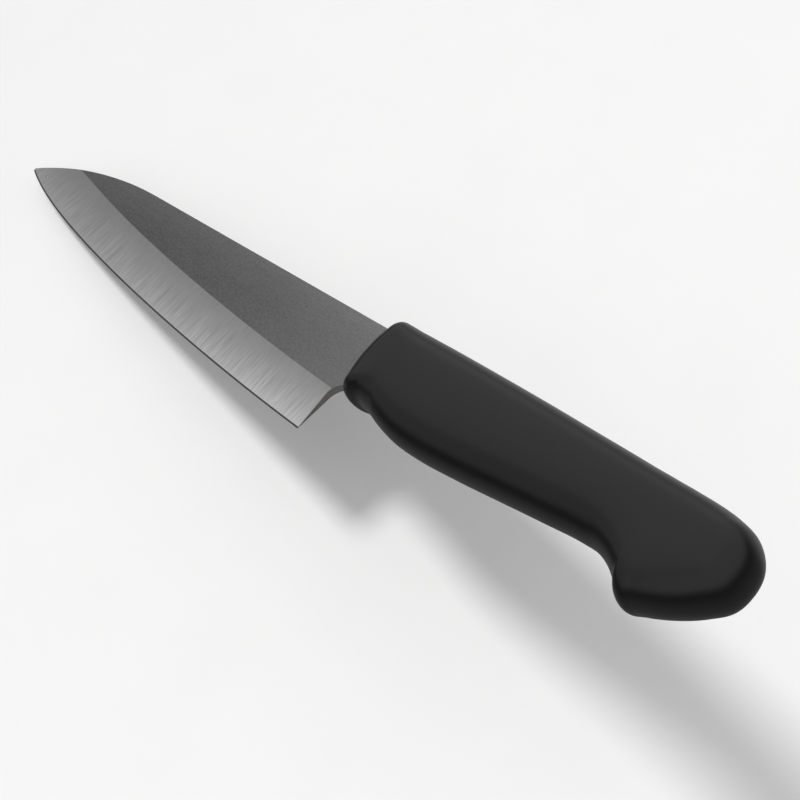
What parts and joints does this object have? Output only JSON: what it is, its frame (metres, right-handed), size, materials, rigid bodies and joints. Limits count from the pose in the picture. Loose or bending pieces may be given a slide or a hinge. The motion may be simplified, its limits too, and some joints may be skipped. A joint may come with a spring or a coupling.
{
  "type": "ceramic knife",
  "caption": "Ceramic utility knife: black zirconia blade with a wide satin bevel and a straight heel, in a matte black soft-grip handle with a hooked butt.",
  "frame": {"origin": "middle of the flat right side of the handle, on which the knife lies: half way along the handle and half way up its height", "axes": "-X along the blade towards the tip, +Y from the cutting edge towards the spine, +Z square to the blade, away from the side it lies on"},
  "size_m": [0.2467, 0.033, 0.016],
  "materials": {
    "zirconia": "satin",
    "soft_grip": "matte",
    "core_plastic": "matte",
    "epoxy": "satin"
  },
  "bodies": {
    "root": {"blade": "zirconia", "tang_adhesive": "epoxy", "left_handle_core": "core_plastic", "right_handle_core": "core_plastic", "grip_skin": "soft_grip"}
  },
  "joints": []
}
